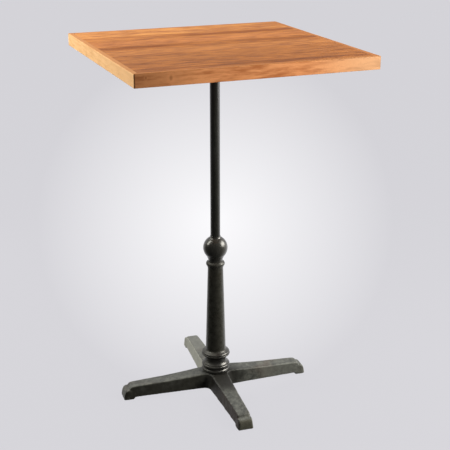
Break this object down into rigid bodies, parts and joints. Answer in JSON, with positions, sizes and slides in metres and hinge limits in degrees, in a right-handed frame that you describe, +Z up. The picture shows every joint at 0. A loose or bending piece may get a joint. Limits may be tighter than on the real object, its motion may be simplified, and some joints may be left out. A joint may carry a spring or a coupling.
{
  "type": "bistro table",
  "caption": "Square bar-height bistro table: planked wooden top with mitred edging on a slim tube, ball knop and tapered iron column over a cross-shaped base.",
  "frame": {"origin": "on the floor under the column's axis, at the centre of the table's footprint", "axes": "+Z up, +X along the top's planks to the right, -Y to the front edge"},
  "size_m": [0.7, 0.7, 1.106],
  "materials": {
    "top_boards": "oiled hardwood planks with warm orange-brown grain, satin",
    "lipping": "oiled hardwood edging with long grain and knots, satin",
    "battens": "plain sanded hardwood",
    "black_tube": "black satin paint on steel tube",
    "black_ball": "black gloss paint on cast iron",
    "column_iron": "dark brown-black iron, lightly polished on the rings",
    "base_iron": "raw grey-green cast iron with worn lighter edges",
    "spider_iron": "matte black painted iron",
    "plated_steel": "dull zinc plating",
    "glide_nylon": "black nylon"
  },
  "bodies": {
    "table": {"base_casting": "base_iron", "column_casting": "column_iron", "ball": "black_ball", "upper_tube": "black_tube", "top_spider": "spider_iron", "tie_rod": "plated_steel", "washer_upper": "plated_steel", "nut_upper": "plated_steel", "washer_lower": "plated_steel", "nut_lower": "plated_steel", "board_1": "top_boards", "board_2": "top_boards", "board_3": "top_boards", "board_4": "top_boards", "board_5": "top_boards", "board_6": "top_boards", "board_7": "top_boards", "lipping_right": "lipping", "lipping_back": "lipping", "lipping_left": "lipping", "lipping_front": "lipping", "batten_left": "battens", "batten_right": "battens", "spider_screw_1": "plated_steel", "spider_screw_2": "plated_steel", "spider_screw_3": "plated_steel", "spider_screw_4": "plated_steel", "spider_screw_5": "plated_steel", "spider_screw_6": "plated_steel", "spider_screw_7": "plated_steel", "spider_screw_8": "plated_steel", "batten_screw_left_1": "plated_steel", "batten_screw_left_2": "plated_steel", "batten_screw_left_3": "plated_steel", "batten_screw_left_4": "plated_steel", "batten_screw_left_5": "plated_steel", "batten_screw_left_6": "plated_steel", "batten_screw_left_7": "plated_steel", "batten_screw_right_1": "plated_steel", "batten_screw_right_2": "plated_steel", "batten_screw_right_3": "plated_steel", "batten_screw_right_4": "plated_steel", "batten_screw_right_5": "plated_steel", "batten_screw_right_6": "plated_steel", "batten_screw_right_7": "plated_steel"},
    "glide_right": {"glide_pad_right": "glide_nylon", "glide_stem_right": "plated_steel"},
    "glide_back": {"glide_pad_back": "glide_nylon", "glide_stem_back": "plated_steel"},
    "glide_left": {"glide_pad_left": "glide_nylon", "glide_stem_left": "plated_steel"},
    "glide_front": {"glide_pad_front": "glide_nylon", "glide_stem_front": "plated_steel"}
  },
  "joints": [
    {"name": "glide_right_screw", "type": "slide", "parent": "table", "child": "glide_right", "axis": [0, 0, -1], "range_m": [0, 0.008]},
    {"name": "glide_back_screw", "type": "slide", "parent": "table", "child": "glide_back", "axis": [0, 0, -1], "range_m": [0, 0.008]},
    {"name": "glide_left_screw", "type": "slide", "parent": "table", "child": "glide_left", "axis": [0, 0, -1], "range_m": [0, 0.008]},
    {"name": "glide_front_screw", "type": "slide", "parent": "table", "child": "glide_front", "axis": [0, 0, -1], "range_m": [0, 0.008]}
  ]
}
